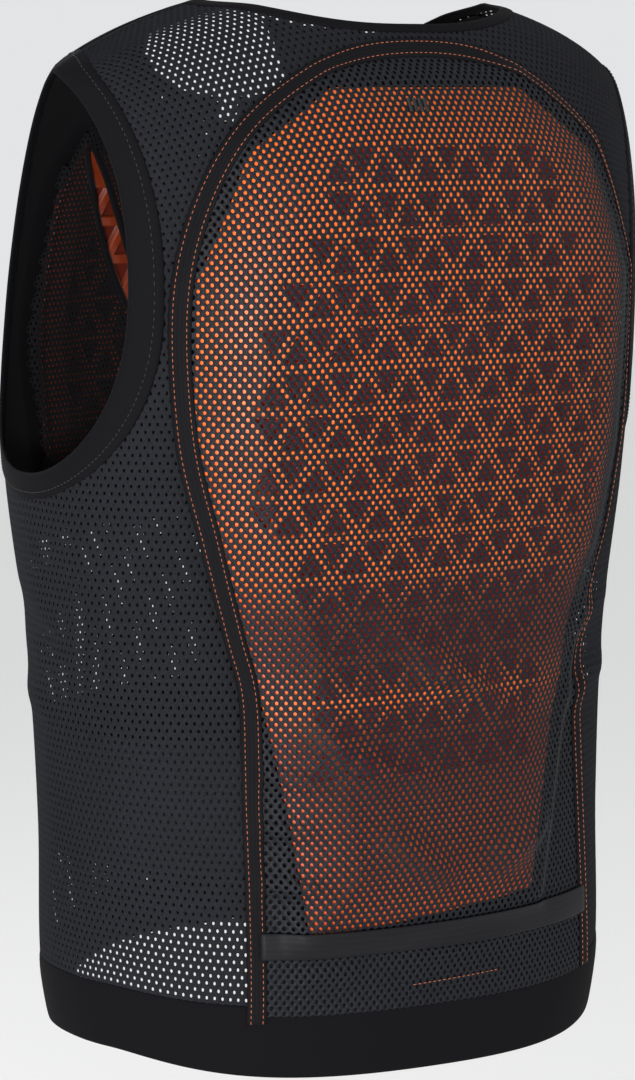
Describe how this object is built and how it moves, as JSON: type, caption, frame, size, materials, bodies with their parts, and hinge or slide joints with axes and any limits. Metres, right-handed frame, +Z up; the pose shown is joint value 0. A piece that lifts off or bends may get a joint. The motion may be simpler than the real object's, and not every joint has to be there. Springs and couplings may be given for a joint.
{
  "type": "motorcycle armour vest",
  "caption": "Sleeveless net vest shown as worn, with a lattice foam back protector in a net pocket, chest pads, an arch of stitched tape and a wide elastic waistband.",
  "frame": {"origin": "where the vest sits on the wearer: on the shoulder ridge, midway between the shoulders", "axes": "+Z up, +X towards the wearer's left, -Y forwards out of the chest, +Y out of the back"},
  "size_m": [0.3842, 0.2709, 0.5929],
  "materials": {
    "black_net": "warp-knitted polyester net, matt",
    "lining_net": "fine knitted net, matt",
    "pocket_net": "spacer net, matt, dark grey",
    "orange_foam": "moulded soft foam, satin",
    "black_tape": "woven tape with orange stitching",
    "black_elastic": "smooth woven elastic",
    "zip_tape": "zip tape with a nylon coil"
  },
  "bodies": {
    "root": {"body_mesh": "black_net", "front_mesh_left": "black_net", "front_mesh_right": "black_net", "back_pocket_lining": "lining_net", "back_pocket_panel": "pocket_net", "back_protector": "orange_foam", "seam_tape": "black_tape", "elastic_strip": "black_elastic", "waist_belt_left": "black_elastic", "waist_belt_right": "black_elastic", "waistband": "black_elastic", "neck_binding": "black_elastic", "armhole_binding_left": "black_elastic", "armhole_binding_right": "black_elastic", "front_zip": "zip_tape", "chest_pad_left": "orange_foam", "chest_pad_right": "orange_foam", "chest_pocket_left": "lining_net", "chest_pocket_right": "lining_net"}
  },
  "joints": []
}
